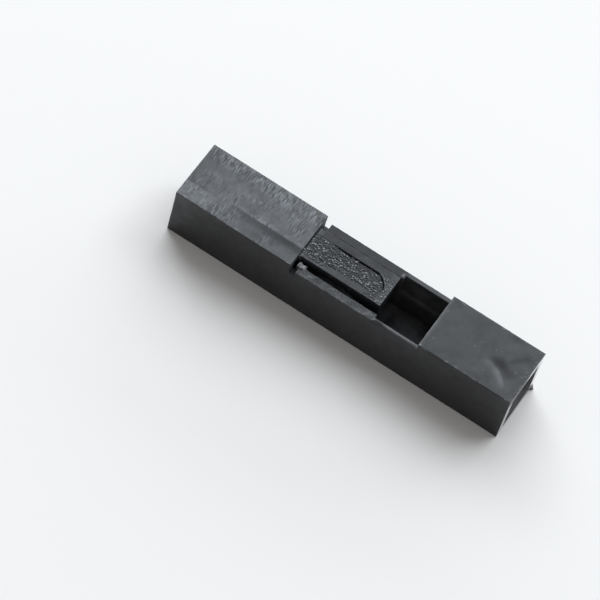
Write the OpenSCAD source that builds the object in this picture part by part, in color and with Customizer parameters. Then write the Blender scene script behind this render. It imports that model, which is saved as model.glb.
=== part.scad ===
// Single-position crimp terminal housing, moulded in one piece.
// Millimetres. +X points to the mating end, +Z to the latch side.
// The origin is the middle of the plain back face that the housing lies on.

/* [Body] */
// Contact pitch that the housing is made for
pitch = 2.54; // [2.3:0.01:4]
// Gap left between two housings that stand side by side on the pitch
side_gap = 0.04; // [0:0.01:0.1]
// Height from the plain back to the latch side
body_h = 2.5; // [2.3:0.05:4]
// Length from the wire end to the mating end
body_l = 14; // [13:0.1:24]
// Thickness of the shell round the terminal cavity
shell_t = 0.34; // [0.22:0.01:0.4]
// Radius of the outer edges
edge_r = 0.04; // [0.02:0.01:0.1]

/* [Latch tongue] */
// Length of the closed block between the wire end and the tongue
rear_l = 4.85; // [3:0.05:6.5]
// Length of the tongue from the closed block to its free end
tongue_l = 3.4; // [2.6:0.05:4.5]
// Thickness of the tongue between its root and its nose
tongue_t = 0.35; // [0.28:0.01:0.5]
// Gap along each side of the tongue
slot_w = 0.17; // [0.12:0.01:0.3]
// Depth of the tongue's top below the tops of the two blocks
tongue_drop = 0.06; // [0.02:0.01:0.14]
// Length of the ramp that blends the tongue into the closed block
root_ramp_l = 0.4; // [0.2:0.05:1]
// Depth of the locking nose below the tongue
nose_h = 0.45; // [0.2:0.01:0.7]
// Length of the ramp by which an entering terminal lifts the nose
nose_ramp_l = 1.2; // [0.6:0.05:1.8]
// Length of the flat land under the nose
nose_land_l = 0.3; // [0.1:0.01:0.5]

/* [Grip recess] */
// Width of the rim along each side of the recess in the tongue's top
recess_rim = 0.3; // [0.15:0.01:0.45]
// Width of the rim between the recess and the tongue's free end
recess_front = 0.25; // [0.15:0.01:0.6]
// Depth of the recess
recess_d = 0.1; // [0.04:0.01:0.2]

/* [Side walls at the latch] */
// Depth of the side walls beside the tongue below the tops of the two blocks
shoulder_drop = 0.32; // [0.15:0.01:0.5]
// Length of the notch between the closed block and each side wall
notch_l = 0.23; // [0.15:0.01:0.5]
// Depth of the notch below the top of the side wall
notch_d = 0.35; // [0.1:0.01:0.6]
// Length of the pad that narrows each slot at the tongue's root
pad_l = 0.35; // [0.1:0.01:0.6]
// Length by which that pad reaches back into the notch
pad_back = 0.1; // [0:0.01:0.14]
// Thickness of that pad in the slot
pad_t = 0.12; // [0.02:0.01:0.14]
// Width of that pad in line with the side wall
pad_in = 0.07; // [0.02:0.01:0.15]
// Height of that pad, down from the top of the side wall
pad_h = 0.45; // [0.1:0.01:0.8]

/* [Window] */
// Length of the open window in front of the tongue
window_l = 1.92; // [1:0.01:2.6]
// Length of the full side walls in front of the tongue's free end
thin_lead = 0.07; // [0:0.01:0.3]
// Thickness of the side walls where the window thins them
window_wall = 0.18; // [0.1:0.01:0.21]
// Depth of the thinned part below the top of the side walls
window_d = 0.9; // [0.3:0.05:1.5]

/* [Ends] */
// Width of the square mouth at the mating end
mouth_w = 1.85; // [1.5:0.01:2]
// Width of the square pin hole behind the mouth
pin_w = 1.28; // [0.7:0.01:1.4]
// Thickness of the front wall that stops the terminal
front_wall = 0.6; // [0.5:0.05:1.2]
// Leg of the lead-in chamfer round the opening at the wire end
wire_lead = 0.1; // [0.04:0.01:0.16]

/* [Hidden] */
$fn = 48;

// Reach of cutters beyond the faces that they open
over = 0.5;

body_w = pitch - side_gap;
cavity_w = body_w - 2 * shell_t;
cavity_h = body_h - 2 * shell_t;
cavity_top = body_h - shell_t;
axis_z = body_h / 2;
wall_top = body_h - shoulder_drop;
window_w = body_w - 2 * window_wall;

// Stations along the length
wire_x = -body_l / 2;
mating_x = body_l / 2;
root_x = wire_x + rear_l;
free_x = root_x + tongue_l;
window_x = free_x + window_l;
cavity_x = mating_x - front_wall;
notch_x = root_x + notch_l;
pad_x = notch_x - pad_back;
thin_x = free_x + thin_lead;

// Tongue and its grip recess
tongue_w = cavity_w - 2 * slot_w;
tongue_top = body_h - tongue_drop;
tongue_low = tongue_top - tongue_t;
nose_low = tongue_low - nose_h;
recess_r = tongue_w / 2 - recess_rim;
recess_x = free_x - recess_front - recess_r;

// The mouth narrows at 45 degrees
mouth_lead = (mouth_w - pin_w) / 2;

// Rectangle with round corners, from its low corner
module round_rect(size, r) {
    translate([r, 0]) square([size.x - 2 * r, size.y]);
    translate([0, r]) square([size.x, size.y - 2 * r]);
    for (x = [r, size.x - r], y = [r, size.y - r])
        translate([x, y]) circle(r);
}

// Extrudes a side outline, drawn as [x, z], over the width w
module across(w) {
    translate([0, w / 2, 0]) rotate([90, 0, 0]) linear_extrude(w) children();
}

// Extrudes a cross-section, drawn as [y, z], from station x0 to station x1
module along(x0, x1) {
    translate([x0, 0, 0]) rotate([90, 0, 90]) linear_extrude(x1 - x0) children();
}

// Side outline: two blocks of full height, joined by the lower side walls
module side_outline() {
    translate([wire_x, 0]) round_rect([body_l, wall_top], edge_r);
    translate([wire_x, 0]) round_rect([rear_l, body_h], edge_r);
    translate([window_x, 0]) round_rect([mating_x - window_x, body_h], edge_r);
}

// Solid blank with rounded outer edges, where its three outlines meet
module blank() {
    intersection() {
        across(body_w) side_outline();
        along(wire_x, mating_x)
            translate([-body_w / 2, 0]) round_rect([body_w, body_h], edge_r);
        translate([wire_x, -body_w / 2, 0])
            linear_extrude(body_h) round_rect([body_l, body_w], edge_r);
    }
}

// Outline that runs from width w0 at x0 to width w1 at x1
module taper(x0, w0, x1, w1) {
    polygon([[x0, -w0 / 2], [x1, -w1 / 2], [x1, w1 / 2], [x0, w0 / 2]]);
}

// Funnel on the housing's axis, from size0 at x0 to size1 at x1, each as [width, height]
module funnel(x0, size0, x1, size1) {
    w = max(size0.x, size1.x);
    h = max(size0.y, size1.y);
    intersection() {
        across(w) translate([0, axis_z]) taper(x0, size0.y, x1, size1.y);
        translate([0, 0, axis_z - h / 2]) linear_extrude(h) taper(x0, size0.x, x1, size1.x);
    }
}

// Cavity that the crimped terminal slides into, with a lead-in round its opening
module cavity() {
    section = [cavity_w, cavity_h];
    spread = 2 * (wire_lead + over) * [1, 1];
    along(wire_x - over, cavity_x)
        translate([-cavity_w / 2, shell_t]) square(section);
    funnel(wire_x - over, section + spread, wire_x + wire_lead, section);
}

// Lead-in mouth and pin hole through the front wall
module mating_opening() {
    mouth = mouth_w * [1, 1];
    pin = pin_w * [1, 1];
    spread = 2 * over * [1, 1];
    funnel(mating_x + over, mouth + spread, mating_x - mouth_lead, pin);
    along(cavity_x - over, mating_x)
        translate([-pin_w / 2, axis_z - pin_w / 2]) square(pin);
}

// Bay round the tongue, and the wider window in front of it
module latch_opening() {
    translate([root_x, -cavity_w / 2, axis_z])
        cube([window_x - root_x, cavity_w, body_h]);
    translate([thin_x, -window_w / 2, wall_top - window_d])
        cube([window_x - thin_x, window_w, body_h]);
}

// Notch across both side walls next to the closed block
module root_notch() {
    reach = body_w / 2 + over;
    translate([root_x, -reach, wall_top - notch_d])
        cube([notch_l, 2 * reach, body_h]);
}

// Pads at the ends of the side walls that narrow the slots at the tongue's root
module root_pads() {
    for (side = [0, 1])
        mirror([0, side, 0])
            translate([pad_x, cavity_w / 2 - pad_t, wall_top - pad_h])
                cube([pad_l, pad_t + pad_in, pad_h]);
}

// Side outline of the tongue, from the ramp at its root to the locking nose
module tongue_outline() {
    land_x = free_x - nose_land_l;
    polygon([
        [root_x - root_ramp_l, cavity_top],
        [root_x, tongue_low],
        [land_x - nose_ramp_l, tongue_low],
        [land_x, nose_low],
        [free_x, nose_low],
        [free_x, tongue_top],
        [root_x - root_ramp_l, tongue_top]
    ]);
}

// Grip recess in the tongue's top, open at the closed block and round at the front
module grip_recess() {
    translate([0, 0, tongue_top - recess_d])
        linear_extrude(recess_d + over) {
            translate([root_x, -recess_r]) square([recess_x - root_x, 2 * recess_r]);
            translate([recess_x, 0]) circle(recess_r);
        }
}

// Latch tongue, free on three sides
module tongue() {
    difference() {
        across(tongue_w) tongue_outline();
        grip_recess();
    }
}

module housing() {
    color("#1b1c1f") {
        difference() {
            blank();
            cavity();
            mating_opening();
            latch_opening();
            root_notch();
        }
        root_pads();
        tongue();
    }
}

housing();
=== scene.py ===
import math

import bpy
import numpy as np
from mathutils import Matrix, Vector


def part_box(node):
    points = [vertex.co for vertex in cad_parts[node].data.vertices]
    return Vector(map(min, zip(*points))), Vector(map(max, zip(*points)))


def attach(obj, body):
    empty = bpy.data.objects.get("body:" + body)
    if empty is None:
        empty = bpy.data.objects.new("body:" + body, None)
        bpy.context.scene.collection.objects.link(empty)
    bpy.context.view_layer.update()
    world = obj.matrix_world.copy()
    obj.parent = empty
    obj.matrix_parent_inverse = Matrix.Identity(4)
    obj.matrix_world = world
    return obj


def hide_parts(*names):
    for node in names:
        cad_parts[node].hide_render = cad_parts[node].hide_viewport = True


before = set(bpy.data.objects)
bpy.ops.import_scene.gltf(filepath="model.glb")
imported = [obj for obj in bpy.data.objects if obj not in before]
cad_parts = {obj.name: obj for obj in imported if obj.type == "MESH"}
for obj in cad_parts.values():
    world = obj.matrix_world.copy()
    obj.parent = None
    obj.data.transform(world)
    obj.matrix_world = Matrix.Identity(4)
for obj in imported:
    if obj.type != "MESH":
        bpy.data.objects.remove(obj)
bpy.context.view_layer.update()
scene = bpy.context.scene

# Lengths below are millimetres in the CAD's frame, and meshes are filled in metres.
MM = 0.001
EPS = 1e-6
TINY = 1e-9
low, high = (np.array(corner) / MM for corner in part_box("housing"))
width, height = (high - low)[1:]

# Driving sizes of the moulding
shell = 0.34
outer_r = 0.03
inner_r = 0.02
rear_l = 4.85
tongue_l = 3.4
tongue_t = 0.35
tongue_drop = 0.06
slot_w = 0.17
root_ramp_l = 0.4
nose_h = 0.45
nose_ramp_l = 1.2
nose_land_l = 0.3
recess_rim = 0.3
recess_front = 0.25
recess_d = 0.1
shoulder_drop = 0.32
notch_l = 0.23
notch_d = 0.35
pad_l = 0.35
pad_back = 0.1
pad_t = 0.12
pad_in = 0.07
pad_h = 0.45
window_l = 1.92
thin_lead = 0.07
window_wall = 0.18
window_d = 0.9
mouth_w = 1.85
pin_w = 1.28
front_wall = 0.6
wire_lead = 0.1

# Stations along the length
wire_x = low[0]
mating_x = high[0]
root_x = wire_x + rear_l
ramp_x = root_x - root_ramp_l
notch_x = root_x + notch_l
pad_x = notch_x - pad_back
pad_end = pad_x + pad_l
free_x = root_x + tongue_l
thin_x = free_x + thin_lead
window_x = free_x + window_l
cavity_x = mating_x - front_wall
land_x = free_x - nose_land_l
mouth_lead = (mouth_w - pin_w) / 2

# Half widths
half_w = width / 2
cavity_half = half_w - shell
window_half = half_w - window_wall
pad_half = cavity_half - pad_t
pad_out = cavity_half + pad_in
tongue_half = cavity_half - slot_w
pin_half = pin_w / 2
recess_r = tongue_half - recess_rim
recess_x = free_x - recess_front - recess_r

# Levels above the back face
axis_z = height / 2
cavity_top = height - shell
wall_top = height - shoulder_drop
window_floor = wall_top - window_d
notch_floor = wall_top - notch_d
pad_low = wall_top - pad_h
tongue_top = height - tongue_drop
tongue_low = tongue_top - tongue_t
recess_floor = tongue_top - recess_d

# Planes of the moulding along each axis, with the radius of the edges on their low and high sides
rows_x = [
    (wire_x, 0, outer_r),
    (ramp_x, 0, 0),
    (root_x, outer_r, 0),
    (pad_x, 0, inner_r),
    (notch_x, 0, inner_r),
    (pad_end, inner_r, 0),
    (recess_x, 0, inner_r),
    (free_x, inner_r, 0),
    (thin_x, inner_r, 0),
    (window_x, 0, outer_r),
    (cavity_x, 0, 0),
    (mating_x, outer_r, 0),
]
rows_half = [
    (recess_r, 0, inner_r),
    (pin_half, 0, inner_r),
    (tongue_half, inner_r, 0),
    (pad_half, 0, inner_r),
    (cavity_half, 0, inner_r),
    (pad_out, inner_r, 0),
    (window_half, 0, inner_r),
    (half_w, outer_r, 0),
]
rows_y = [(-y, above, below) for y, below, above in rows_half[::-1]] + rows_half
rows_z = [
    (0.0, 0, outer_r),
    (shell, inner_r, 0),
    (axis_z - pin_half, inner_r, 0),
    (window_floor, 0, 0),
    (pad_low, 0, 0),
    (notch_floor, inner_r, 0),
    (axis_z + pin_half, 0, inner_r),
    (tongue_low, 0, inner_r),
    (wall_top, inner_r, 0),
    (cavity_top, 0, inner_r),
    (recess_floor, 0, 0),
    (tongue_top, inner_r, 0),
    (height, outer_r, 0),
]
bends_x = [wire_x + wire_lead, land_x - nose_ramp_l, land_x, mating_x - mouth_lead]

# Steps of the lattice
plain_step = 0.25
front_step = 0.2
side_step = 0.12
grain_step = 0.075
height_step = 0.3
spans_x = [(root_x, plain_step), (free_x, grain_step), (window_x, plain_step), (mating_x, front_step)]
spans_y = [(-tongue_half, side_step), (tongue_half, grain_step), (half_w, side_step)]
spans_z = [(height, height_step)]

# Marks of this moulding. A pair holds the start and the end of a stretch over which something sets in.
# Rear block: its worn wire end, the lighter strip along the near side and the step beyond it
worn_end = (-6.8, -5.8)
strip_end = (-6.1, -5.5)
strip_edge = (-0.6, -0.55)
step_start = (-5.3, -4.6)
step_y = -0.48
step_slope = 0.13
step_steep = 0.14
step_ease = 0.23

# Front block: the middle and radius of its sink's arc, and where its finer faces start
sink_x = 5.46
sink_y = -1.29
sink_r = 1.11
sink_start = 5.1

# Tongue: the round front of its recess is a parabola, a little askew
bow_curve = 1.68
bow_aside = 0.08

# Slope of the tongue's far rim and of the far wall, which lean to the near side
far_lean = 0.09

# Depth below the blocks' tops in which their wear and painted highlights show
top_skin = 0.04

# Near pad: a knob that stands up and is painted pale, as painted light where the tongue shades it
knob_x = pad_x + 0.15
knob_reach = 0.19
knob_y = -cavity_half + 0.02

# How a place in space is laid into the plane of a ripple
NICK_PLANE = [[1, 0.3], [0.4, 1], [0.7, -0.6]]
WEAR_AND_LIGHT_PLANE = [[1, 0.2], [0.3, 1], [0.6, -0.8]]

# Seeds of the waves and grains
NICK_SEED = 5
CLOUD_SEED = 11
COARSE_SEED = 21
FLOOR_SEED = 22
FINE_SEED = 23
KNOB_SEED = 31
WEAR_AND_LIGHT_SEED = 41
PATCH_SEED = 42


def eased_lines(radius):
    """Distances from an edge at which the lattice has lines for its rounding.

    One is where the rounding ends, and one where the ray from its middle that is halfway between the face
    and the edge meets the face. An outer edge has one more, beyond both.
    """
    halfway = 1 - math.tan(math.pi / 8)
    beyond = 1.8
    lines = np.array([halfway, 1.0, beyond])
    return radius * lines[:3 if radius == outer_r else 2]


def lattice(rows, bends, spans):
    """Planes of the shape along one axis, and the lines of the lattice there.

    The lines stand on the planes and bends and on the eased sides of the planes, unless another line is
    close. Even lines fill what is left. A span gives its end and the step up to there.
    """
    least_gap = 0.4 * inner_r
    planes = np.sort([plane for plane, below, above in rows])
    eased = [plane - eased_lines(below) for plane, below, above in rows if below]
    eased += [plane + eased_lines(above) for plane, below, above in rows if above]
    lines = np.sort(np.concatenate([planes, bends]))
    for line in np.sort(np.concatenate(eased)):
        if np.abs(lines - line).min() > least_gap:
            lines = np.append(lines, line)
    lines = np.sort(lines)
    ends = np.array([end for end, step in spans])
    steps = np.array([step for end, step in spans])
    middles = (lines[1:] + lines[:-1]) / 2
    counts = np.ceil(np.diff(lines) / steps[np.searchsorted(ends, middles)] - EPS).astype(int)
    runs = [np.linspace(a, b, n, endpoint=False) for a, b, n in zip(lines[:-1], lines[1:], counts)]
    return planes, np.concatenate(runs + [lines[-1:]])


def between(values, start, end):
    """Whether values lie between start and end."""
    return (values > start) & (values < end)


def ramp(values, start, end):
    """Rises evenly from 0 at start to 1 at end, and is held beyond them."""
    return np.clip((values - start) / (end - start), 0, 1)


def smooth(values, start, end):
    """Rises from 0 at start to 1 at end, level at both."""
    part = ramp(values, start, end)
    return part * part * (3 - 2 * part)


def fade(values, start, end):
    """Falls from 1 at start to 0 at end, level at both."""
    return 1 - smooth(values, start, end)


def bell(values, middle, reach):
    """Bell round a middle: e to minus the square of the distance over the reach."""
    return np.exp(-((values - middle) / reach) ** 2)


def hill(values, middle, reach):
    """Bell with a broad top: e to minus the fourth power of the distance over the reach."""
    return np.exp(-((values - middle) / reach) ** 4)


def moulding(x, y, z):
    """Plastic or air at a place.

    Plastic is the blank of two blocks and low walls, less its openings, plus the pads and the tongue.
    """
    y = np.abs(y)
    blocks = between(x, wire_x, root_x) | between(x, window_x, mating_x)
    blank = (z < wall_top) | blocks
    cavity = (x < cavity_x) & (y < cavity_half) & between(z, shell, cavity_top)
    pin_hole = (x > cavity_x) & (y < pin_half) & (np.abs(z - axis_z) < pin_half)
    bay = between(x, root_x, window_x) & (y < cavity_half) & (z > axis_z)
    window = between(x, thin_x, window_x) & (y < window_half) & (z > window_floor)
    notch = between(x, root_x, notch_x) & (z > notch_floor)
    shell_left = blank & ~(cavity | pin_hole | bay | window | notch)
    pads = between(x, pad_x, pad_end) & between(y, pad_half, pad_out) & between(z, pad_low, wall_top)
    tongue = between(x, ramp_x, free_x) & (y < tongue_half) & between(z, tongue_low, tongue_top)
    recess = between(x, root_x, recess_x) & (y < recess_r) & (z > recess_floor)
    return shell_left | pads | tongue & ~recess


def largest_boxes(cells):
    """Every box of cells that is full of plastic and can grow on none of its six sides.

    The running sums of the cells give the filling of each box by differences along x, y and z in turn. A
    box one cell larger has its low end one lower or its high end one higher.
    """
    sums = np.zeros(np.array(cells.shape) + 1, int)
    sums[1:, 1:, 1:] = cells.cumsum(0).cumsum(1).cumsum(2)
    filling = sums[None, :, :, :] - sums[:, None, :, :]
    filling = filling[:, :, None, :, :] - filling[:, :, :, None, :]
    filling = filling[..., None, :] - filling[..., :, None]
    spans = [np.arange(n)[None, :] - np.arange(n)[:, None] for n in sums.shape]
    volume = np.einsum("ab,cd,ef->abcdef", *[np.maximum(span, 0) for span in spans])
    full = (filling == volume) & (volume > 0)
    largest = full.copy()
    for axis in range(0, 6, 2):
        largest &= ~np.roll(full, 1, axis) & ~np.roll(full, -1, axis + 1)
    return np.argwhere(largest).reshape(-1, 3, 2)


def boundary(cells):
    """Quads between plastic and air, axis by axis, each wound so that it faces the air."""
    padded = np.pad(cells, 1).astype(np.int8)
    shape = np.array(cells.shape) + 1
    round_face = np.array([(0, 0), (1, 0), (1, 1), (0, 1)])
    quads = []
    for axis in range(3):
        inner = [slice(1, -1)] * 3
        inner[axis] = slice(None)
        change = np.diff(padded, axis=axis)[tuple(inner)]
        corners = np.zeros((4, 3), int)
        corners[:, [(axis + 1) % 3, (axis + 2) % 3]] = round_face
        for sign, order in ((-1, [0, 1, 2, 3]), (1, [3, 2, 1, 0])):
            nodes = np.argwhere(change == sign)[:, None, :] + corners[order]
            quads.append(np.ravel_multi_index(np.moveaxis(nodes, -1, 0), shape))
    nodes, faces = np.unique(np.concatenate(quads), return_inverse=True)
    return np.stack(np.unravel_index(nodes, shape), 1), faces.reshape(-1, 4)


def starts_of(sizes):
    """Place of each face's first corner in the list of corners."""
    return np.cumsum(sizes) - sizes


def spans_of(points, corners, sizes):
    """Middle of each face and its extent along each axis."""
    starts = starts_of(sizes)
    placed = points[corners]
    middle = np.add.reduceat(placed, starts) / sizes[:, None]
    return middle, np.maximum.reduceat(placed, starts) - np.minimum.reduceat(placed, starts)


def refine(points, corners, sizes, chosen):
    """Splits each chosen quad in four at the middles of its sides.

    Its neighbours take those middles in. A face is a run of corners as long as its size says. A side that
    two faces share gets one middle, so the skin stays closed.
    """
    count = len(points)
    face = np.repeat(np.arange(len(sizes)), sizes)
    starts = starts_of(sizes)
    following = np.arange(len(corners)) + 1
    following[starts + sizes - 1] = starts
    side = np.sort(np.stack([corners, corners[following]], 1), 1) @ [count, 1]
    split = np.unique(side[chosen[face]])
    at = np.minimum(np.searchsorted(split, side), len(split) - 1)
    is_split = split[at] == side
    middle = count + at
    centre = count + len(split) + np.arange(chosen.sum())
    side_middles = (points[split // count] + points[split % count]) / 2
    quad_corners = corners[chosen[face]].reshape(-1, 4)
    quad_middles = middle[chosen[face]].reshape(-1, 4)
    new_points = np.concatenate([points, side_middles, points[quad_corners].mean(1)])

    # Faces that stay take in the middles of their split sides
    woven = np.stack([corners, middle], 1)
    taken = np.stack([np.ones_like(is_split), is_split], 1) & ~chosen[face][:, None]
    kept_sizes = (sizes + np.add.reduceat(is_split.astype(int), starts))[~chosen]
    quarters = [
        np.stack([quad_corners[:, k], quad_middles[:, k], centre, quad_middles[:, k - 1]], 1)
        for k in range(4)
    ]
    quarters = np.concatenate(quarters)
    new_corners = np.concatenate([woven[taken], quarters.ravel()])
    return new_points, new_corners, np.concatenate([kept_sizes, np.full(len(quarters), 4)])


def ease_edges(points, boxes, radius):
    """Rounds the edges that stand out.

    A point ends one radius away from the nearest place of the plastic shrunk by that radius.
    """
    nearest = np.full(len(points), np.inf)
    centre = points.copy()
    for box_low, box_high in boxes:
        if np.any(box_high - box_low < 2 * radius):
            continue
        inside = np.clip(points, box_low + radius, box_high - radius)
        gap = np.linalg.norm(points - inside, axis=1)
        closer = gap < nearest - TINY
        nearest[closer] = gap[closer]
        centre[closer] = inside[closer]
    return centre + (points - centre) * (radius / nearest)[:, None]


def flare(points, at_face, at_neck, hole, grow):
    """Opens a square hole towards an end face, at 45 degrees.

    A point's reach is the larger of its distances from the axis across and up. What is left from it to the
    outside shrinks evenly, so that the hole's half width grows evenly from its neck to the face.
    """
    part = ramp(points[:, 0], at_neck, at_face)
    across = points[:, 1:] - (0, axis_z)
    reach = np.abs(across).max(1)
    opened = half_w - (half_w - reach) * (half_w - hole - grow * part) / (half_w - hole)
    scale = np.where(part > 0, opened / np.maximum(reach, TINY), 1.0)
    points[:, 1:] = across * scale[:, None] + (0, axis_z)


def ripple(places, wave, seed):
    """Smooth random waves of rms one: a sum of cosines, about one wave long, with random headings."""
    terms = 48
    spread = (0.7, 1.4)
    source = np.random.default_rng(seed)
    heading = source.uniform(0, 2 * math.pi, terms)
    number = 2 * math.pi / wave * source.uniform(*spread, terms)
    phase = source.uniform(0, 2 * math.pi, terms)
    waves = np.stack([np.cos(heading), np.sin(heading)]) * number
    return np.cos(places @ waves + phase).sum(1) * math.sqrt(2 / terms)


def grains(places, spacing, seed):
    """Spark-eroded grain, from 0 to 1: the highest of the domes round a place.

    Each square of a grid holds one dome, a parabola of random place, width and rise. A place looks at its
    own square and the eight round it.
    """
    grid = 64
    shifts = (0.1, 0.9)
    widths = (0.38, 0.66)
    rises = (0.3, 1.0)
    source = np.random.default_rng(seed)
    shift = source.uniform(*shifts, (grid, grid, 2))
    wide = spacing * source.uniform(*widths, (grid, grid))
    rise = source.uniform(*rises, (grid, grid))
    square = np.floor(places / spacing).astype(int)
    top = np.zeros(len(places))
    for step in np.ndindex(3, 3):
        around = square + step - 1
        i, j = (around % grid).T
        middle = (around + shift[i, j]) * spacing
        away = ((places - middle) ** 2).sum(1) / wide[i, j] ** 2
        top = np.maximum(top, rise[i, j] * np.clip(1 - away, 0, None))
    return top


def housing_skin():
    """The whole moulding as one closed skin: points, corners and sizes of faces, finishes and paints."""
    axes = (rows_x, bends_x, spans_x), (rows_y, [], spans_y), (rows_z, [], spans_z)
    planes, lines = zip(*[lattice(*axis) for axis in axes])

    # Plastic or air in each cell, first between the planes and then in the finer lattice
    middles = np.ix_(*[(plane[1:] + plane[:-1]) / 2 for plane in planes])
    coarse = moulding(*middles)
    finer = [np.searchsorted(p, (line[1:] + line[:-1]) / 2) - 1 for p, line in zip(planes, lines)]
    nodes, quads = boundary(coarse[np.ix_(*finer)])
    flat = np.stack([line[nodes[:, axis]] for axis, line in enumerate(lines)], 1)
    corners = quads.ravel()
    sizes = np.full(len(quads), 4)

    # The tops get finer faces; the tongue's own top, with its grain, and the sink get finer ones again
    tops = (wire_x, mating_x, half_w, wall_top)
    grain_top = (root_x, free_x, tongue_half, recess_floor)
    sink_top = (sink_start, mating_x - outer_r, half_w - outer_r, height)
    for start, end, reach, lowest in (tops, grain_top, sink_top):
        middle, extent = spans_of(flat, corners, sizes)
        chosen = between(middle[:, 0], start, end) & (np.abs(middle[:, 1]) < reach)
        chosen &= (middle[:, 2] > lowest - EPS) & (extent[:, 2] < EPS) & (sizes == 4)
        flat, corners, sizes = refine(flat, corners, sizes, chosen)

    boxes = [
        np.array([[plane[span[0]], plane[span[1]]] for plane, span in zip(planes, box)]).T
        for box in largest_boxes(coarse)
    ]
    points, eased = uneven_edges(flat, boxes)

    # Funnel of the mating end and lead-in of the wire end
    flare(points, mating_x, mating_x - mouth_lead, pin_half, mouth_lead)
    flare(points, wire_x, wire_x + wire_lead, cavity_half, wire_lead)

    x, y, z = flat.T
    on_tongue = (np.abs(y) < tongue_half + EPS) & between(x, root_x - EPS, free_x + EPS)
    on_tongue &= z > tongue_low - EPS
    top_of_tongue = on_tongue & (z > recess_floor - EPS)
    shape_tongue(points, flat, on_tongue, top_of_tongue)
    tips = weather(points, flat, on_tongue)
    paints = {
        "brushing_and_painted_light": brushing_and_painted_light(points),
        "polish": polish(points),
        "wear_and_highlight": wear_and_highlight(points, flat, eased, tips),
    }
    return points, corners, sizes, finishes(flat, corners, sizes, top_of_tongue), paints


def uneven_edges(flat, boxes):
    """Rounded edges, crisper round the latch, and how much of an edge each point is, from 0 to 1.

    A ripple scales how far each edge gives way, and the top edge of the mating end stays sharper on its
    near half.
    """
    edge_move = 0.4 * inner_r
    latch_run = 0.2
    latch_levels = (0.6, 1.4)
    nick_wave = 0.3
    nick_size = 0.3
    least, most = 0.4, 1.8
    sharper = 0.6
    near_half = (-0.15, 0.1)
    edge = 0.06
    x, y, z = flat.T
    at_latch = smooth(x, root_x, root_x + latch_run) * fade(x, window_x - latch_run, window_x)
    crisp = (at_latch * smooth(z, *latch_levels))[:, None]
    points = (1 - crisp) * ease_edges(flat, boxes, outer_r) + crisp * ease_edges(flat, boxes, inner_r)
    eased = np.clip(np.linalg.norm(points - flat, axis=1) / edge_move, 0, 1)
    nicks = np.clip(1 + nick_size * ripple(flat @ NICK_PLANE, nick_wave, NICK_SEED), least, most)
    nicks *= 1 - sharper * fade(y, *near_half) * (x > mating_x - edge) * (z > height - edge)
    return flat + (points - flat) * nicks[:, None], eased


def shape_tongue(points, flat, on_tongue, top_of_tongue):
    """Round front of the recess, slimmer near side, locking nose and ramp at the root, in that order."""
    px, py, pz = points.T
    x, y, z = flat.T

    # The recess's front wall moves forward to a parabola over its width, and the top beside it gives way
    behind_front = (root_x + 0.3, recess_x - 0.1)
    before_end = (free_x - 0.04, recess_x + 0.04)
    bow = recess_r - bow_curve * (py + bow_aside) ** 2
    bow *= ramp(np.abs(py), tongue_half, recess_r)
    bow *= np.minimum(ramp(px, *behind_front), ramp(px, *before_end))
    px += np.where(top_of_tongue, bow, 0)

    # The near side is slimmer past the root
    slim = 0.03
    slim_run = 0.12
    slimmer = slim * smooth(px, root_x, root_x + slim_run)
    slimmer *= smooth(-py, recess_r + slim, tongue_half - slim)
    py += np.where(on_tongue, slimmer, 0)

    # The nose grows evenly along its ramp, and what is above it takes a share by its depth
    nose_top = recess_floor - 0.03
    under = nose_h * ramp(px, land_x - nose_ramp_l, land_x) * ramp(pz, nose_top, tongue_low)
    pz -= np.where(on_tongue, under, 0)

    # The ramp at the root runs from the cavity's top down to the tongue's underside
    least_slope = 0.02
    in_ramp = (np.abs(y) < tongue_half + EPS) & between(x, ramp_x - EPS, root_x - EPS)
    in_ramp &= between(z, tongue_low - EPS, cavity_top - EPS)
    slope = np.clip((px - ramp_x) / root_ramp_l, least_slope, 1)
    pz[:] = np.where(in_ramp, cavity_top - (cavity_top - pz) * slope, pz)


def sink_arc(px, py):
    """How far a place is outside the sink's arc, and its bearing in degrees from the arc's middle."""
    ray_x = px - sink_x
    ray_y = py - sink_y
    return np.hypot(ray_x, ray_y) - sink_r, np.degrees(np.arctan2(ray_y, ray_x))


def corner_run(points):
    """Ways along and across the line that runs at 45 degrees from the low far corner of an end."""
    from_side = half_w - points[:, 1]
    from_back = points[:, 2]
    return (from_side + from_back) / math.sqrt(2), (from_side - from_back) / math.sqrt(2)


def weather(points, flat, on_tongue):
    """Marks of the mould and of use, as small moves of the points.

    The tongue's rim and the side walls have weaker waves than the blocks. The heights on the grain are
    given back.
    """
    cloud_rise = 0.008
    cloud_wave = 1.5
    low_share = 0.3
    low_sag = 0.004
    place = points[:, :2].copy()
    cloud = cloud_rise * ripple(place, cloud_wave, CLOUD_SEED)
    low_cloud = low_share * cloud - low_sag
    weather_blocks(points, flat, place, cloud, on_tongue)
    tips = weather_tongue(points, flat, place, low_cloud, on_tongue)
    weather_walls(points, flat, place, low_cloud)
    weather_ends(points, flat)
    return tips


def witness_step(px, py):
    """Witness of the mould's insert on the rear block: a step down along the near side, with a low lip.

    Past its steep part, the slope runs out evenly: the fall loses the way's square over twice the easing.
    """
    lip_rise = 0.006
    lip_y = -0.42
    lip_reach = 0.05
    past = np.clip(step_y - py, 0, step_steep + step_ease)
    fall = step_slope * (past - np.clip(past - step_steep, 0, None) ** 2 / (2 * step_ease))
    return (lip_rise * bell(py, lip_y, lip_reach) - fall) * smooth(px, *step_start)


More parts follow.
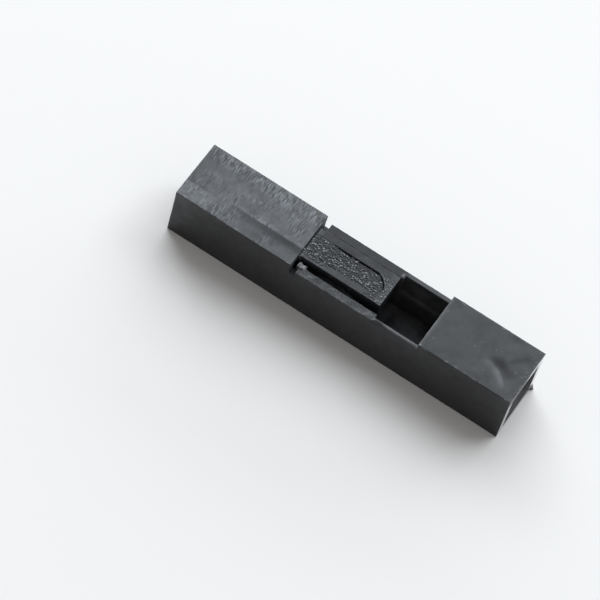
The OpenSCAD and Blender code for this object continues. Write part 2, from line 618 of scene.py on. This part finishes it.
def sink_depth(px, py):
    """Depth of the sink in the front block: a valley on an arc, and a bank that runs off from it.

    The valley is a bell across the arc, wider on its outside, between two bearings. The bank falls steeply
    on one side of its heading, rises slowly on the other and dies out along it.
    """
    valley_depth = 0.078
    opens = (14, 50)
    closes = (60, 98)
    inner_reach = 0.22
    outer_reach = 0.32
    outer_loss = 0.1
    narrows = (60, 84)
    out, bearing = sink_arc(px, py)
    part = smooth(bearing, *opens) * fade(bearing, *closes)
    reach = np.where(out < 0, inner_reach, outer_reach - outer_loss * smooth(bearing, *narrows))

    bank_depth = 0.022
    bank_x, bank_y = 6.4, 0.42
    head_x, head_y = 0.67, 0.74
    bank_reach = 0.42
    falls = (-0.14, 0.1)
    rises = (0.1, 0.6)
    beside = head_y * (px - bank_x) - head_x * (py - bank_y)
    ahead = head_x * (px - bank_x) + head_y * (py - bank_y)
    bank = smooth(beside, *falls) * fade(beside, *rises) * hill(ahead, 0, bank_reach)
    return valley_depth * bell(out, 0, reach) * part + bank_depth * bank


def weather_blocks(points, flat, place, cloud, on_tongue):
    """Tops of the two blocks: slight waves, weaker at the sides, the witness step and the sink.

    A top moves whole, and a point below it, down the sides, takes a share by its height.
    """
    depth = 0.2
    sag = 0.014
    side_run = 0.35
    side_loss = 0.75
    px, py = place.T
    x, y, z = flat.T
    block = ((x < root_x + EPS) | (x > window_x - EPS)) & ~on_tongue
    share = block * ramp(z, height - depth, height)
    straight = 1 - side_loss * smooth(np.abs(y), half_w - side_run, half_w)
    marks = np.where(x < root_x + EPS, witness_step(px, py), -sink_depth(px, py))
    points[:, 2] += share * (cloud * straight - sag + marks)


def weather_tongue(points, flat, place, low_cloud, on_tongue):
    """Top of the tongue: its grain, the leaning far rim, the recess's floor and the groove at the root.

    It gives back how high each point is on its grain, from 0 to 1.
    """
    px, py = place.T
    x, y, z = flat.T
    side = np.abs(y)
    rim_share = on_tongue * ramp(z, recess_floor, tongue_top)
    coarse_spacing = 0.088
    coarse_rise = 0.03
    fine_spacing = 0.075
    fine_rise = 0.026
    grain_sink = 0.012
    coarse = grains(place, coarse_spacing, COARSE_SEED)
    fine = grains(place, fine_spacing, FINE_SEED)

    # The grain of the recess runs out over the worn parts of the rim: its front, and near its root
    front_arc = (0.98, 1.06)
    front_start = (0.4, 0.6)
    front_far = (0.3, 0.65)
    side_margin = (0.01, 0.05)
    end_margin = (0.01, 0.04)
    near_end = (-1.4, -0.9)
    near_margin = (-0.68, -0.6)
    front = smooth(px + bow_curve * (py + bow_aside) ** 2, *front_arc)
    front *= smooth(px, *front_start) * fade(py, *front_far)
    front *= smooth(tongue_half - side, *side_margin) * smooth(free_x - x, *end_margin)
    near = fade(px, *near_end) * smooth(py, *near_margin) * (py < 0)

    # The far rim leans to the near side, but for its front
    lean_end = (0.35, 0.75)
    leaning = (py > 0) * np.clip(tongue_half - py, 0, recess_rim) * fade(px, *lean_end)
    rim_move = low_cloud - far_lean * leaning
    rim_move += front * (fine_rise * fine - grain_sink) + near * (coarse_rise * coarse - grain_sink)

    # The floor of the recess climbs to the root, and it starts under the rim all round its border
    floor_rise = 0.025
    floor_climb = 0.07
    climb_end = (-1.7, -0.5)
    ripple_rise = 0.0015
    ripple_wave = 0.07
    border = 0.07
    border_loss = 0.8
    border_start = (-1.6, -0.6)
    under_rim = 0.006
    steepest = 0.8
    in_recess = on_tongue & (side < recess_r + EPS) & (x < recess_x + EPS) & (z > recess_floor - EPS)
    floor_move = floor_climb * fade(px, *climb_end) + floor_rise
    floor_move += coarse_rise * coarse + ripple_rise * ripple(place, ripple_wave, FLOOR_SEED) - grain_sink
    inward = np.minimum(np.minimum(recess_r - side, x - root_x), recess_x - x)
    floor_move *= 1 - border_loss * fade(inward, 0, border) * smooth(px, *border_start)
    floor_move = np.minimum(floor_move, recess_d + rim_move - under_rim + steepest * inward)
    points[:, 2] += rim_share * rim_move + in_recess * (1 - rim_share) * floor_move

    # A groove with one steep side parts the tongue from the closed block
    groove_d = 0.055
    groove_w = 0.1
    share = on_tongue * ramp(z, tongue_low, recess_floor)
    points[:, 2] -= groove_d * share * ramp(px, root_x + groove_w, root_x)

    tips = np.where(rim_share > 1 - EPS, np.maximum(front * fine, near * coarse), 0)
    return np.where(in_recess & (rim_share < EPS), coarse, tips)


def weather_walls(points, flat, place, low_cloud):
    """Side walls: the far one leans to the near side, and the near pad stands up as a ragged knob.

    A point below a wall's top takes a share by its height.
    """
    lean_reach = 0.4
    knob_half = 0.12
    knob_rise = 0.05
    knob_ragged = 0.025
    ragged_wave = 0.2
    px, py = place.T
    x, y, z = flat.T
    wall = between(x, root_x + EPS, window_x + EPS) & (np.abs(y) > pad_half - EPS) & (z < wall_top + EPS)
    share = wall * ramp(z, notch_floor, wall_top)
    leaning = (py > 0) * (x < free_x) * np.clip(half_w - py, 0, lean_reach)
    move = low_cloud - far_lean * leaning
    knob = (py < 0) * hill(px, knob_x, knob_reach) * hill(py, knob_y, knob_half)
    move += knob * (knob_rise + knob_ragged * ripple(place, ragged_wave, KNOB_SEED))
    points[:, 2] += share * move

    # The near thin wall leans in at its top, most at its start
    least_inset = 0.075
    more_inset = 0.045
    more_end = (1.6, 1.9)
    inset_start = (thin_x - 0.06, thin_x + 0.04)
    inset_end = (window_x - 0.06, window_x)
    inset_low = 1.88
    inset = least_inset + more_inset * fade(px, *more_end)
    inset *= smooth(px, *inset_start) * fade(px, *inset_end)
    inset *= ramp(-y, window_half, half_w) * ramp(z, inset_low, wall_top)
    points[:, 1] += np.where(z < wall_top + EPS, inset, 0)


def weather_ends(points, flat):
    """The rear block spreads a little towards its top, and a burr stands at a corner of the mating end."""
    spread_low = notch_floor + 0.1
    spread_w = 0.022
    burr_h = 0.1
    burr_along = 0.13
    burr_across = 0.06
    x, y, z = flat.T
    spread = spread_w * smooth(z, spread_low, height) * ramp(np.abs(y), cavity_half, half_w)
    points[:, 1] += np.where(x < root_x + EPS, np.sign(y) * spread, 0)
    along, across = corner_run(points)
    burr = bell(along, 0, burr_along) * bell(across, 0, burr_across)
    points[:, 0] += np.where(x > mating_x - outer_r, burr_h * burr, 0)


def brushing_and_painted_light(points):
    """Brushing of the rear top: 1, less at its wire end, painted shade on the step, a painted highlight on
    its lip.
    """
    end_loss, band_shade, inner_shade, lip_highlight = 0.55, 0.45, 0.5, 0.3
    band_start = (-5.2, -3.9)
    band_edge = (-0.5, -0.46)
    inner_edge = (-0.95, -0.6)
    lip_start = (-5.2, -4.6)
    lip_y, lip_reach = -0.4, 0.06
    px, py = points[:, :2].T
    end = fade(px, *worn_end) * smooth(py, *strip_edge)
    # Painted shade on the step's slope
    band = smooth(px, *band_start) * fade(py, *band_edge)
    band *= band_shade + inner_shade * smooth(py, *inner_edge)
    # Painted highlight on the lip above the step
    lip = smooth(px, *lip_start) * bell(py, lip_y, lip_reach)
    return np.clip(1 - end_loss * end - band + lip_highlight * lip, 0, 1 + lip_highlight)


def polish(points):
    """Gloss of the mating end, from 0 to 1: full but for the burr and the near half above the mouth."""
    burr_along = 0.6
    burr_across = 0.15
    middle = (-0.1, 0.25)
    above_mouth = (axis_z + 0.75, axis_z + 1.05)
    along, across = corner_run(points)
    burr = hill(along, 0, burr_along) * bell(across, 0, burr_across)
    painted_part = fade(points[:, 1], *middle) * smooth(points[:, 2], *above_mouth)
    return (1 - painted_part) * (1 - burr)


def wear_and_highlight(points, flat, eased, tips):
    """Whitened wear and painted light, from 0 to 1: the sum of what each pale place adds, broken up by two
    ripples.
    """
    fine_wave = 0.13
    slow_wave = 0.4
    broken_share = 0.3
    broken_ripple = 0.55
    edge_light = 0.02
    uneven = ripple(points @ WEAR_AND_LIGHT_PLANE, fine_wave, WEAR_AND_LIGHT_SEED)
    patchy = ripple(points[:, :2], slow_wave, PATCH_SEED)
    broken = eased * np.clip(broken_share + broken_ripple * uneven, 0, 1)
    # Edges paler all round: partly edge wear, partly a painted highlight along them
    total = edge_light * broken
    total += block_wear_and_highlights(points, flat, uneven, patchy)
    total += wall_painted_light(points, flat, uneven, patchy)
    total += end_highlights(points, flat, eased)
    total += tongue_wear_and_highlights(points, flat, uneven, patchy, broken, tips)
    return np.clip(total, 0, 1)


def block_wear_and_highlights(points, flat, uneven, patchy):
    """Wear and painted highlights on the blocks' tops, as the sum of their pale places."""
    px, py = points[:, :2].T
    x, z = flat[:, ::2].T
    at_top = z > height - top_skin

    # The lighter strip along the near side, painted glints along the sides' edges, paler on the far side,
    # and a painted highlight on the window's front edge
    strip_light, strip_uneven = 0.07, 0.02
    edge_glint, far_light = 0.2, 0.025
    glint_levels = (1.0, 1.8)
    side_edge = half_w - 0.07
    window_highlight, window_patchy = 0.13, 0.02
    window_edge = window_x + 0.02
    window_reach = 0.035
    strip = fade(px, *strip_end) * fade(py, *strip_edge)
    on_side = np.abs(py) > side_edge
    total = strip * np.clip(strip_light + strip_uneven * uneven, 0, 1)
    total += on_side * (edge_glint * smooth(uneven, *glint_levels) + far_light * (py > 0))
    total += hill(px, window_edge, window_reach) * (window_highlight + window_patchy * patchy)

    # On the front block a veil, a painted highlight in a crescent on the sink's inside, and patches
    # towards the mating end
    veil_white, veil_patchy = 0.013, 0.0015
    crescent_highlight = 0.085
    grows, drops = (-0.36, -0.06), (-0.05, 0.02)
    opens, dims, closes = (14, 40), (60, 72), (84, 104)
    dim_loss = 0.4
    front_white, patch_white = 0.008, 0.07
    front_start = (6.5, 6.9)
    patch_slow = 0.8
    patch_levels = (0.9, 2.2)
    out, bearing = sink_arc(px, py)
    crescent = smooth(out, *grows) * fade(out, *drops) * smooth(bearing, *opens)
    crescent *= (1 - dim_loss * smooth(bearing, *dims)) * fade(bearing, *closes)
    patches = smooth(uneven + patch_slow * patchy, *patch_levels)
    total += (x > window_x) * (veil_white + veil_patchy * patchy + crescent_highlight * crescent)
    total += smooth(px, *front_start) * (front_white + patch_white * patches)
    return at_top * total


def wall_painted_light(points, flat, uneven, patchy):
    """Painted light on the side walls' tops: the thin parts and their starts, the near wall and its pad.
    """
    thin_light, thin_more, far_light = 0.03, 0.09, 0.06
    more_start = (1.5, 1.9)
    thin_ease = 0.05
    near_light, near_uneven, near_patchy = 0.045, 0.045, 0.035
    pad_light, pad_uneven = 0.7, 0.3
    pad_wide = 0.09
    far_start_highlight, near_start_highlight = 0.25, 0.08
    far_start = (thin_x - 0.09, 1.05)
    near_start = thin_x - 0.02
    start_reach, start_wide = 0.05, 0.07
    wall_skin = 0.03
    px, py = points[:, :2].T
    x, z = flat[:, ::2].T
    side = np.abs(py)
    near = py < 0
    on_wall = (np.abs(z - wall_top) < wall_skin) & between(x, pad_x - EPS, window_x + EPS)
    on_wall &= side > tongue_half + EPS
    thin = smooth(px, thin_x, thin_x + thin_ease) * fade(px, window_x - thin_ease, window_x)
    # The near wall and its pad are painted lighter where the tongue shades them, and the thin walls' tops
    # are painted lighter too
    painted_part = np.clip(near_light + near_uneven * uneven + near_patchy * patchy, 0, 1)
    on_pad = near * hill(px, knob_x, knob_reach) * hill(side, -knob_y, pad_wide)
    total = thin * np.where(near, thin_light + thin_more * smooth(px, *more_start), far_light)
    total += (1 - thin) * near * painted_part
    total += on_pad * (pad_light + pad_uneven * uneven)
    # Painted highlights at the starts of the thin walls
    total += far_start_highlight * hill(px, far_start[0], start_reach) * hill(py, far_start[1], start_wide)
    total += near_start_highlight * hill(px, near_start, start_reach) * (py < -cavity_half)
    return on_wall * total


def end_highlights(points, flat, eased):
    """Painted light on the mating end: edge highlights, most on the top one's far half, its near strip and
    top.
    """
    edge_start = (mating_x - 0.07, mating_x - 0.02)
    edge_light, top_highlight, top_more = 0.05, 0.06, 0.44
    far_half = (0.0, 0.5)
    strip_light, near_light = 0.2, 0.12
    strip_low, strip_high = (0.3, 1.5), (2.2, 2.4)
    near_half = (-0.2, 0.1)
    near_low = (2.1, 2.2)
    px, py, pz = points.T
    x, z = flat[:, ::2].T
    # Painted highlights on the edges, a painted reflection of the floor on the near strip, and painted
    # light on the near half of the top
    on_edge = eased * smooth(px, *edge_start)
    near_strip = (py < -cavity_half) * smooth(pz, *strip_low) * fade(pz, *strip_high)
    near_top = fade(py, *near_half) * smooth(pz, *near_low)
    at_top = z > height - top_skin
    total = on_edge * np.where(at_top, top_highlight + top_more * smooth(py, *far_half), edge_light)
    return total + (x > edge_start[1]) * (strip_light * near_strip + near_light * near_top)


def tongue_wear_and_highlights(points, flat, uneven, patchy, broken, tips):
    """Wear and painted light on the tongue: its root's groove, free edge, far rim's root, rim, and the
    grain's tips.
    """
    groove_light, groove_x, groove_reach = 0.1, root_x + 0.05, 0.07
    free_white, free_reach, free_skin = 0.3, 0.06, 0.04
    root_highlight = 0.06
    root_at, root_reach = (root_x + 0.15, 0.58), (0.09, 0.12)
    front_white, front_start = 0.03, (0.9, 1.05)
    rim_white, rim_most = 0.008, 3
    tip_glint, tip_levels = 0.5, (0.53, 0.88)
    px, py = points[:, :2].T
    z = flat[:, 2]
    side = np.abs(py)
    from_rim = np.abs(z - tongue_top)
    on_rim = (from_rim < EPS) & (side < tongue_half) & between(px, root_x, free_x)
    painted_part = front_white * smooth(px, *front_start) + rim_white * np.clip(uneven + patchy, 0, rim_most)
    in_groove = (side < tongue_half) & (z > recess_floor - EPS)
    at_root = hill(px, root_at[0], root_reach[0]) * hill(py, root_at[1], root_reach[1])
    # Painted light in the groove at the root, where shade falls
    total = groove_light * in_groove * hill(px, groove_x, groove_reach)
    total += free_white * broken * hill(px, free_x, free_reach) * (from_rim < free_skin)
    # A painted highlight on the far rim's root, and painted glints on the tips of the grain
    total += root_highlight * at_root * (from_rim < EPS)
    return total + on_rim * painted_part + tip_glint * smooth(tips, *tip_levels)


def finishes(flat, corners, sizes, top_of_tongue):
    """Finish of each face, by its place.

    0 is satin, 1 the brushed rear top, 2 the grain, 3 the smooth mating end, 4 the inside of the
    moulding and of the notches, paler as painted light in their shade, and 5 the dull sides of the tongue.
    """
    middle, extent = spans_of(flat, corners, sizes)
    x, y, z = middle.T
    side = np.abs(y)
    level = extent[:, 2] < EPS
    on_top = level & (z > height - EPS) & (x < root_x)
    all_tongue = np.logical_and.reduceat(top_of_tongue[corners], starts_of(sizes))
    on_floor = all_tongue & level & (np.abs(z - recess_floor) < EPS)
    at_mouth = (extent[:, 0] < EPS) & (x > mating_x - EPS)
    inside = (side < window_half + EPS) & between(z, shell - EPS, wall_top - EPS)
    inside &= between(x, wire_x + EPS, mating_x - EPS)
    in_notch = between(x, root_x - EPS, notch_x + EPS) & between(z, notch_floor - EPS, height)
    inside |= in_notch & ~all_tongue
    sides = (np.abs(side - tongue_half) < EPS) | (np.abs(x - free_x) < EPS)
    sides &= between(x, root_x, free_x + EPS) & between(z, tongue_low, tongue_top)
    return np.select([on_top, on_floor, at_mouth, sides, inside], [1, 2, 3, 5, 4], 0)


def mesh_object(name, points, corners, sizes, finish, paints, materials):
    """Fills a mesh from whole arrays, shades it smooth but for true corners, and adds its paints."""
    sharp_angle = math.radians(42)
    mesh = bpy.data.meshes.new(name)
    mesh.vertices.add(len(points))
    mesh.vertices.foreach_set("co", (points * MM).ravel())
    mesh.loops.add(len(corners))
    mesh.loops.foreach_set("vertex_index", corners)
    mesh.polygons.add(len(sizes))
    mesh.polygons.foreach_set("loop_start", starts_of(sizes))
    for material in materials:
        mesh.materials.append(material)
    mesh.polygons.foreach_set("material_index", finish)
    mesh.polygons.foreach_set("use_smooth", np.ones(len(sizes), bool))
    mesh.update(calc_edges=True)
    mesh.validate()
    mesh.set_sharp_from_angle(angle=sharp_angle)
    for label, values in paints.items():
        painted = mesh.attributes.new(label, "FLOAT", "POINT")
        painted.data.foreach_set("value", values)
    piece = bpy.data.objects.new(name, mesh)
    scene.collection.objects.link(piece)
    return piece


def fill(made, **values):
    """Sets a node: a value goes to the input of that name, with _ for a blank, or to the property."""
    for key, value in values.items():
        name = key.replace("_", " ")
        if name in made.inputs:
            made.inputs[name].default_value = value
        else:
            setattr(made, key, value)
    return made


def node(tree, kind, **values):
    """A new node of a tree, set by its values."""
    return fill(tree.nodes.new(kind), **values)


def mix_range(tree, value, start, end, to_start, to_end):
    """A value carried evenly from one range to another and held at its ends."""
    made = node(tree, "ShaderNodeMapRange", From_Min=start, From_Max=end, To_Min=to_start, To_Max=to_end)
    tree.links.new(value, made.inputs["Value"])
    return made.outputs["Result"]


def math_of(tree, operation, first, second):
    """Arithmetic on an output and a second output or number."""
    made = node(tree, "ShaderNodeMath", operation=operation)
    tree.links.new(first, made.inputs[0])
    if isinstance(second, float):
        made.inputs[1].default_value = second
    else:
        tree.links.new(second, made.inputs[1])
    return made.outputs["Value"]


def blend_colours(tree, factor, first, second):
    """A colour between two, each an output or a tuple, by a factor.

    The Mix node's sockets share names, so its colours are found by their places.
    """
    first_socket, second_socket, result_socket = 6, 7, 2
    made = node(tree, "ShaderNodeMix", data_type="RGBA")
    for socket, colour in ((first_socket, first), (second_socket, second)):
        if isinstance(colour, tuple):
            made.inputs[socket].default_value = (*colour, 1)
        else:
            tree.links.new(colour, made.inputs[socket])
    tree.links.new(factor, made.inputs[0])
    return made.outputs[result_socket]


def source_of(shader, name):
    """The output that feeds an input of a shader."""
    return shader.inputs[name].links[0].from_socket


def moulding_marks():
    """Marks of the mould, from a place in millimetres: clouds, mottle, a fine peel and a few specks."""
    speck_edge = (0.05, 0.17)
    speck_choice = (0.55, 0.85)
    group = bpy.data.node_groups.new("moulding_marks", "ShaderNodeTree")
    group.interface.new_socket("Place", in_out="INPUT", socket_type="NodeSocketVector")
    for output in ("Clouds", "Mottle", "Peel", "Specks"):
        group.interface.new_socket(output, in_out="OUTPUT", socket_type="NodeSocketFloat")
    inside = node(group, "NodeGroupInput")
    outside = node(group, "NodeGroupOutput")
    clouds = node(group, "ShaderNodeTexNoise", Scale=1.1, Detail=4.0, Roughness=0.55)
    mottle = node(group, "ShaderNodeTexNoise", Scale=2.6, Detail=4.0, Roughness=0.62)
    peel = node(group, "ShaderNodeTexNoise", Scale=9.0, Detail=3.0, Roughness=0.6)
    cells = node(group, "ShaderNodeTexVoronoi", Scale=3.0)
    for texture in (clouds, mottle, peel, cells):
        group.links.new(inside.outputs["Place"], texture.inputs["Vector"])
    dot = mix_range(group, cells.outputs["Distance"], *speck_edge, 1.0, 0.0)
    chosen = mix_range(group, cells.outputs["Color"], *speck_choice, 0.0, 1.0)
    for texture, output in ((clouds, "Clouds"), (mottle, "Mottle"), (peel, "Peel")):
        group.links.new(texture.outputs["Fac"], outside.inputs[output])
    group.links.new(math_of(group, "MULTIPLY", dot, chosen), outside.inputs["Specks"])
    return group


MARKS = moulding_marks()
BLACK = (0.0085, 0.009, 0.0103)
BLOOM = (0.0155, 0.0165, 0.0189)
# Paler base for the inside of the moulding and the notches: painted light in their shade
SHADOW_LIFT = (0.095, 0.096, 0.1)
DUST = (0.075, 0.077, 0.081)
# Pale colour of whitened wear, and of the painted highlights, reflection and light laid on with it
WORN_AND_LIT = (0.55, 0.56, 0.585)
BRUSHED = (0.19, 0.198, 0.213)
COOL = (0.89, 0.95, 1.0)


def plastic(name, gloss, peel_height, shine=0.5, dark=BLACK):
    """Black moulded plastic.

    Bloom, specks and the wear paint, which also carries painted highlights, a painted reflection and
    painted light, make its colour, the mottle its roughness, and the peel is a bump.
    """
    cloud_levels = (0.35, 0.68)
    mottle_levels = (0.34, 0.66)
    material = bpy.data.materials.new(name)
    material.use_nodes = True
    tree = material.node_tree
    link = tree.links.new
    shader = tree.nodes["Principled BSDF"]
    fill(shader, IOR=1.46, Specular_IOR_Level=shine, Coat_Roughness=0.06)
    coordinates = node(tree, "ShaderNodeTexCoord")
    place = node(tree, "ShaderNodeMapping", name="place", Scale=(1 / MM, 1 / MM, 1 / MM))
    marks = node(tree, "ShaderNodeGroup", node_tree=MARKS)
    link(coordinates.outputs["Object"], place.inputs["Vector"])
    link(place.outputs["Vector"], marks.inputs["Place"])
    clouded = mix_range(tree, marks.outputs["Clouds"], *cloud_levels, 0.0, 1.0)
    bloomed = blend_colours(tree, clouded, dark, BLOOM)
    specked = blend_colours(tree, marks.outputs["Specks"], bloomed, DUST)
    # Whitened wear, and the painted highlights, reflection and light that share its paint
    painted_part = node(tree, "ShaderNodeAttribute", attribute_name="wear_and_highlight")
    colour = blend_colours(tree, painted_part.outputs["Fac"], specked, WORN_AND_LIT)
    link(colour, shader.inputs["Base Color"])
    rough = mix_range(tree, marks.outputs["Mottle"], *mottle_levels, *gloss)
    link(rough, shader.inputs["Roughness"])
    bump = node(tree, "ShaderNodeBump", Strength=1.0, Distance=peel_height * MM)
    link(marks.outputs["Peel"], bump.inputs["Height"])
    link(bump.outputs["Normal"], shader.inputs["Normal"])
    return material


def brush(material):
    """Cross-wise brushing where the skin is painted with it: noise drawn out along y.

    It shows in colour, bump and gloss; the paint also carries painted shade on the step and a painted
    highlight on its lip. Strokes come and go in patches and grow at the far edge, over a mottle that is
    everywhere.
    """
    stroke_height = 0.004
    stroke_rough = 0.12
    stroke_levels, stroke_range = (0.4, 0.66), (-0.38, 0.9)
    patch_levels, patch_range = (0.46, 0.62), (0.05, 0.6)
    edge_levels, edge_range = (0.55, 0.95), (0.0, 0.7)
    mottle_levels, mottle_range = (0.32, 0.68), (0.06, 0.44)
    tree = material.node_tree
    link = tree.links.new
    shader = tree.nodes["Principled BSDF"]
    place = tree.nodes["place"].outputs["Vector"]
    painted = node(tree, "ShaderNodeAttribute", attribute_name="brushing_and_painted_light")
    drawn = node(tree, "ShaderNodeMapping", Scale=(1.0, 0.15, 1.0))
    streaks = node(tree, "ShaderNodeTexNoise", Scale=23.0, Detail=1.0, Roughness=0.5, Distortion=0.2)
    patches = node(tree, "ShaderNodeTexNoise", Scale=1.3, Detail=2.0)
    mottle = node(tree, "ShaderNodeTexNoise", Scale=2.4, Detail=5.0, Roughness=0.68)
    across = node(tree, "ShaderNodeSeparateXYZ")
    link(place, drawn.inputs["Vector"])
    link(drawn.outputs["Vector"], streaks.inputs["Vector"])
    for target in (patches, mottle, across):
        link(place, target.inputs["Vector"])
    strokes = mix_range(tree, streaks.outputs["Fac"], *stroke_levels, *stroke_range)
    patch = mix_range(tree, patches.outputs["Fac"], *patch_levels, *patch_range)
    edge = mix_range(tree, across.outputs["Y"], *edge_levels, *edge_range)
    brushed_here = math_of(tree, "MULTIPLY", strokes, math_of(tree, "ADD", patch, edge))
    mottled = mix_range(tree, mottle.outputs["Fac"], *mottle_levels, *mottle_range)
    marked = math_of(tree, "ADD", brushed_here, mottled)
    amount = math_of(tree, "MULTIPLY", marked, painted.outputs["Fac"])
    colour = blend_colours(tree, amount, source_of(shader, "Base Color"), BRUSHED)
    link(colour, shader.inputs["Base Color"])
    over = node(tree, "ShaderNodeBump", Strength=1.0, Distance=stroke_height * MM)
    link(amount, over.inputs["Height"])
    link(source_of(shader, "Normal"), over.inputs["Normal"])
    link(over.outputs["Normal"], shader.inputs["Normal"])
    rougher = math_of(tree, "MULTIPLY_ADD", amount, stroke_rough)
    link(source_of(shader, "Roughness"), rougher.node.inputs[2])
    link(rougher, shader.inputs["Roughness"])


def glaze(material):
    """Gloss where the skin is painted with polish: a coat, and less roughness under it."""
    dull_rough = 0.4
    glossy_rough = 0.12
    tree = material.node_tree
    shader = tree.nodes["Principled BSDF"]
    painted = node(tree, "ShaderNodeAttribute", attribute_name="polish")
    tree.links.new(painted.outputs["Fac"], shader.inputs["Coat Weight"])
    base = mix_range(tree, painted.outputs["Fac"], 0.0, 1.0, dull_rough, glossy_rough)
    rough = math_of(tree, "ADD", base, source_of(shader, "Roughness"))
    tree.links.new(rough, shader.inputs["Roughness"])


satin = plastic("satin_black_plastic", (0.32, 0.52), 0.0012)
brushed = plastic("brushed_black_plastic", (0.34, 0.46), 0.002, shine=0.6)
brush(brushed)
grained = plastic("grained_black_plastic", (0.22, 0.32), 0.002, shine=0.33)
smooth_end = plastic("smooth_black_plastic", (0.0, 0.06), 0.0006)
glaze(smooth_end)
# Inside of the moulding and the notches, with a paler base as painted light in their shade
inside = plastic("shadow_lifted_black_plastic", (0.5, 0.6), 0.0006, shine=0.2, dark=SHADOW_LIFT)
dull = plastic("dull_black_plastic", (0.5, 0.6), 0.0006, shine=0.2)

skin = mesh_object("housing_skin", *housing_skin(), [satin, brushed, grained, smooth_end, inside, dull])
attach(skin, "root")
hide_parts("housing")

# Pale floor
floor_half = 1500 * MM
floor_mesh = bpy.data.meshes.new("floor")
floor_signs = ((-1, -1), (1, -1), (1, 1), (-1, 1))
floor_corners = [(i * floor_half, j * floor_half, 0) for i, j in floor_signs]
floor_mesh.from_pydata(floor_corners, [], [(0, 1, 2, 3)])
floor = bpy.data.objects.new("floor", floor_mesh)
scene.collection.objects.link(floor)
paper = bpy.data.materials.new("white_paper")
paper.use_nodes = True
paper_shader = paper.node_tree.nodes["Principled BSDF"]
fill(paper_shader, Base_Color=(0.93, 0.905, 0.885, 1), Roughness=0.9, Specular_IOR_Level=0.0)
floor_mesh.materials.append(paper)


def direction(azimuth, elevation):
    """Unit vector towards an azimuth and elevation in degrees; azimuth 0 is the near side."""
    turned = math.radians(azimuth)
    raised = math.radians(elevation)
    return Vector((
        math.sin(turned) * math.cos(raised),
        -math.cos(turned) * math.cos(raised),
        math.sin(raised),
    ))


def softbox(name, azimuth, elevation, size, radiance):
    """A soft lamp that faces the housing, set by the radiance of its face."""
    distance = 500
    data = bpy.data.lights.new(name, "AREA")
    data.shape = "RECTANGLE"
    data.size = size[0] * MM
    data.size_y = size[1] * MM
    data.energy = radiance * math.pi * size[0] * size[1] * MM ** 2
    data.color = COOL
    lamp = bpy.data.objects.new(name, data)
    towards = direction(azimuth, elevation)
    lamp.location = towards * distance * MM
    lamp.rotation_mode = "QUATERNION"
    lamp.rotation_quaternion = towards.to_track_quat("Z", "Y")
    scene.collection.objects.link(lamp)


softbox("back_softbox", 190, 50, (760, 480), 2.35)
softbox("low_strip", 186, 13, (1100, 140), 4.5)
softbox("right_kicker", 137, 45, (140, 140), 2.5)
softbox("left_kicker", 235, 31, (160, 160), 4.0)

world = bpy.data.worlds.new("studio")
world.use_nodes = True
fill(world.node_tree.nodes["Background"], Color=(1, 1, 1, 1), Strength=0.3)
scene.world = world

# Camera, fitted to the edges of the photographed housing
camera_azimuth = 16.7018
camera_elevation = 58.4605
camera_roll = math.radians(18.074)
camera_aim = Vector((-1.3419, -1.5479, 1.25)) * MM
camera_distance = 141.238 * MM
camera_data = bpy.data.cameras.new("camera")
camera_data.sensor_width = 36
camera_data.lens = 240
camera_data.clip_start = 0.005
camera_data.clip_end = 10
camera = bpy.data.objects.new("camera", camera_data)
scene.collection.objects.link(camera)
back = direction(camera_azimuth, camera_elevation)
turn = back.to_track_quat("Z", "Y").to_matrix().to_4x4() @ Matrix.Rotation(camera_roll, 4, "Z")
camera.matrix_world = Matrix.Translation(camera_aim + back * camera_distance) @ turn
scene.camera = camera
scene.view_settings.view_transform = "Standard"
